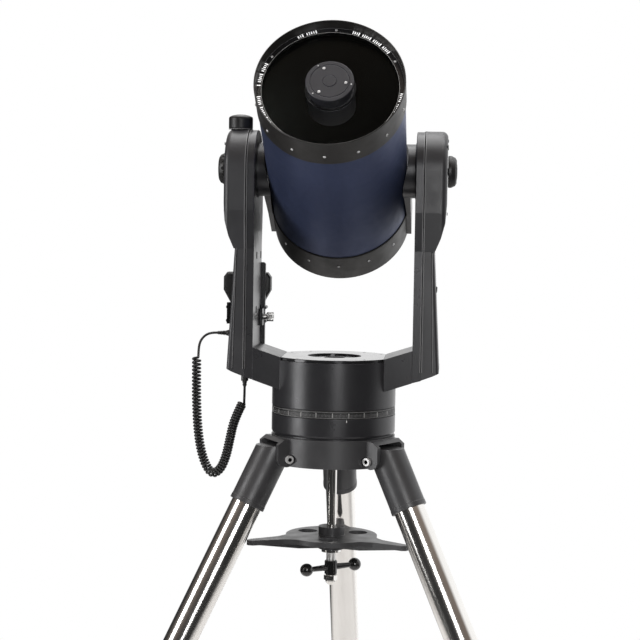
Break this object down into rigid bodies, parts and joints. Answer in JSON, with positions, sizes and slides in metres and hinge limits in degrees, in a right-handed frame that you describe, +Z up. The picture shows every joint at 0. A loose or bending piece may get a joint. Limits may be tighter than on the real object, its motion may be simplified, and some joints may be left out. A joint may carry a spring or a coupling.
{
  "type": "schmidt-cassegrain telescope",
  "caption": "Schmidt-Cassegrain telescope on a fork mount and steel field tripod, with corded hand controller, star diagonal, eyepiece and finder.",
  "frame": {"origin": "centre of the footprint on the floor, measured without the hand controller's cord", "axes": "+Z up, -Y the way the tube points, +X to the right of someone who faces the front"},
  "size_m": [0.9094, 0.8044, 1.4225],
  "materials": {
    "fork_paint": "satin",
    "cover_plastic": "satin",
    "deck_paint": "satin",
    "cell_paint": "satin",
    "tube_paint": "gloss",
    "black_plastic": "satin",
    "gloss_black": "gloss",
    "housing_grey": "satin",
    "corrector_glass": "gloss",
    "mirror_silver": "polished",
    "black_metal": "satin",
    "chrome_steel": "polished",
    "rod_steel": "polished",
    "bolt_steel": "satin",
    "cast_black": "satin",
    "circle_black": "satin",
    "brass_wheel": "satin",
    "foot_rubber": "matte",
    "key_rubber": "matte",
    "cord_jacket": "satin",
    "puck_plastic": "satin"
  },
  "bodies": {
    "tripod": {"tripod_head": "cast_black", "leg_pivot_bolts": "bolt_steel", "drive_base": "fork_paint", "azimuth_worm_wheel": "brass_wheel"},
    "setting_circle": {"azimuth_setting_circle": "circle_black"},
    "spreader": {"spreader_plate": "cast_black"},
    "tension_rod": {"threaded_rod": "rod_steel", "tension_handle": "black_plastic"},
    "fork": {"fork_base": "fork_paint", "base_top_plate": "deck_paint", "left_arm_casting": "fork_paint", "left_arm_cover": "cover_plastic", "right_arm_casting": "fork_paint", "right_arm_cover": "cover_plastic", "gps_receiver": "puck_plastic", "handbox_shell": "black_plastic", "handbox_bracket": "black_metal", "cord_plugs": "cord_jacket", "cord_coil": "cord_jacket", "cord_tail_upper": "cord_jacket", "cord_tail_lower": "cord_jacket"},
    "azimuth_worm_shaft": {"azimuth_worm": "bolt_steel"},
    "azimuth_lock": {"azimuth_lock_lever": "black_plastic"},
    "altitude_lock": {"altitude_lock_knob": "black_plastic"},
    "slow_motion": {"slow_motion_knob": "black_plastic"},
    "keypad": {"handbox_keys": "key_rubber"},
    "thumbscrew": {"bracket_thumbscrew": "bolt_steel"},
    "tube": {"saddle_plates": "fork_paint", "front_cell": "cell_paint", "retaining_ring": "gloss_black", "corrector_plate": "corrector_glass", "secondary_housing": "housing_grey", "tube_shell": "tube_paint", "rear_cell": "cell_paint", "baffle_tube": "black_plastic", "visual_back": "black_metal", "finder_scope": "black_metal", "finder_bracket": "black_metal"},
    "focuser": {"focus_knob": "black_plastic"},
    "mirror_cell": {"primary_mirror": "mirror_silver"},
    "diagonal": {"star_diagonal": "black_metal"},
    "eyepiece_barrel": {"eyepiece": "black_metal"},
    "leg_1": {"leg_1_socket": "cast_black", "leg_1_tube": "chrome_steel", "leg_1_collar": "black_plastic"},
    "leg_1_lower": {"leg_1_extension": "chrome_steel", "leg_1_foot": "foot_rubber"},
    "leg_1_knob": {"leg_1_lock_knob": "black_plastic"},
    "leg_2": {"leg_2_socket": "cast_black", "leg_2_tube": "chrome_steel", "leg_2_collar": "black_plastic"},
    "leg_2_lower": {"leg_2_extension": "chrome_steel", "leg_2_foot": "foot_rubber"},
    "leg_2_knob": {"leg_2_lock_knob": "black_plastic"},
    "leg_3": {"leg_3_socket": "cast_black", "leg_3_tube": "chrome_steel", "leg_3_collar": "black_plastic"},
    "leg_3_lower": {"leg_3_extension": "chrome_steel", "leg_3_foot": "foot_rubber"},
    "leg_3_knob": {"leg_3_lock_knob": "black_plastic"}
  },
  "joints": [
    {"name": "azimuth_rotation", "type": "hinge", "parent": "tripod", "child": "fork", "pos_m": [0.00563, -0.11899, 0.851], "axis": [0, 0, 1], "range_deg": [-180, 180]},
    {"name": "altitude_rotation", "type": "hinge", "parent": "fork", "child": "tube", "pos_m": [0.00563, -0.11899, 1.1956], "axis": [-1, 0, 0], "range_deg": [-46, 58.6]},
    {"name": "setting_circle_turn", "type": "hinge", "parent": "tripod", "child": "setting_circle", "pos_m": [0.00563, -0.11899, 0.804], "axis": [0, 0, 1], "continuous": true},
    {"name": "azimuth_worm_turn", "type": "hinge", "parent": "fork", "child": "azimuth_worm_shaft", "pos_m": [0.00563, -0.03699, 0.824], "axis": [1, 0, 0], "range_deg": [-32400, 32400]},
    {"name": "azimuth_lock_turn", "type": "hinge", "parent": "fork", "child": "azimuth_lock", "pos_m": [0.00563, -0.01709, 0.841], "axis": [0, 1, 0], "range_deg": [-90, 0]},
    {"name": "altitude_lock_turn", "type": "hinge", "parent": "fork", "child": "altitude_lock", "pos_m": [-0.17437, -0.11899, 1.1956], "axis": [1, 0, 0], "range_deg": [-180, 180]},
    {"name": "slow_motion_turn", "type": "hinge", "parent": "fork", "child": "slow_motion", "pos_m": [0.18563, -0.11899, 1.1956], "axis": [1, 0, 0], "continuous": true},
    {"name": "key_press", "type": "slide", "parent": "fork", "child": "keypad", "axis": [0, -1, 0], "range_m": [0, 0.001], "stiffness_N_per_m": 800},
    {"name": "thumbscrew_turn", "type": "hinge", "parent": "fork", "child": "thumbscrew", "pos_m": [-0.11237, -0.07299, 0.95], "axis": [1, 0, 0], "range_deg": [0, 1080]},
    {"name": "leg_1_fold", "type": "hinge", "parent": "tripod", "child": "leg_1", "pos_m": [-0.07858, -0.16509, 0.728], "axis": [0.4802, -0.8771, 0], "range_deg": [0, 27]},
    {"name": "leg_1_extend", "type": "slide", "parent": "leg_1", "child": "leg_1_lower", "axis": [-0.4037, -0.221, -0.8878], "range_m": [0, 0.36]},
    {"name": "leg_1_knob_turn", "type": "hinge", "parent": "leg_1", "child": "leg_1_knob", "pos_m": [-0.4296, -0.35727, 0.07569], "axis": [-0.7787, -0.4263, 0.4602], "range_deg": [0, 540]},
    {"name": "leg_2_fold", "type": "hinge", "parent": "tripod", "child": "leg_2", "pos_m": [0.08766, -0.16886, 0.728], "axis": [0.5195, 0.8545, 0], "range_deg": [0, 27]},
    {"name": "leg_2_extend", "type": "slide", "parent": "leg_2", "child": "leg_2_lower", "axis": [0.3932, -0.2391, -0.8878], "range_m": [0, 0.36]},
    {"name": "leg_2_knob_turn", "type": "hinge", "parent": "leg_2", "child": "leg_2_knob", "pos_m": [0.4296, -0.37677, 0.07569], "axis": [0.7586, -0.4612, 0.4602], "range_deg": [0, 540]},
    {"name": "leg_3_fold", "type": "hinge", "parent": "tripod", "child": "leg_3", "pos_m": [0.00781, -0.02301, 0.728], "axis": [-0.9997, 0.0227, 0], "range_deg": [0, 27]},
    {"name": "leg_3_extend", "type": "slide", "parent": "leg_3", "child": "leg_3_lower", "axis": [0.0104, 0.4601, -0.8878], "range_m": [0, 0.36]},
    {"name": "leg_3_knob_turn", "type": "hinge", "parent": "leg_3", "child": "leg_3_knob", "pos_m": [0.01689, 0.37707, 0.07569], "axis": [0.0201, 0.8876, 0.4602], "range_deg": [0, 540]},
    {"name": "spreader_turn", "type": "hinge", "parent": "tripod", "child": "spreader", "pos_m": [0.00563, -0.11899, 0.5932], "axis": [0, 0, 1], "range_deg": [0, 60]},
    {"name": "tension_rod_turn", "type": "hinge", "parent": "tripod", "child": "tension_rod", "pos_m": [0.00563, -0.11899, 0.538], "axis": [0, 0, 1], "continuous": true},
    {"name": "focus_knob_turn", "type": "hinge", "parent": "tube", "child": "focuser", "pos_m": [0.04763, -0.00767, 1.07376], "axis": [0, -0.8536, 0.521], "range_deg": [-4680, 4680]},
    {"name": "mirror_focus", "type": "slide", "parent": "tube", "child": "mirror_cell", "axis": [0, -0.8536, 0.521], "range_m": [-0.0097, 0.0097]},
    {"name": "diagonal_turn", "type": "hinge", "parent": "tube", "child": "diagonal", "pos_m": [0.00563, 0.03337, 1.1026], "axis": [0, -0.8536, 0.521], "continuous": true},
    {"name": "eyepiece_slide", "type": "slide", "parent": "diagonal", "child": "eyepiece_barrel", "axis": [0, 0.521, 0.8536], "range_m": [0, 0.03]}
  ],
  "couplings": [
    {"joint": "leg_2_fold", "follows": "leg_1_fold", "ratio": 1},
    {"joint": "leg_3_fold", "follows": "leg_1_fold", "ratio": 1},
    {"joint": "spreader_turn", "follows": "leg_1_fold", "ratio": 2.222},
    {"joint": "azimuth_worm_turn", "follows": "azimuth_rotation", "ratio": 180},
    {"joint": "focus_knob_turn", "follows": "mirror_focus", "rad_per_m": 8377.6}
  ]
}
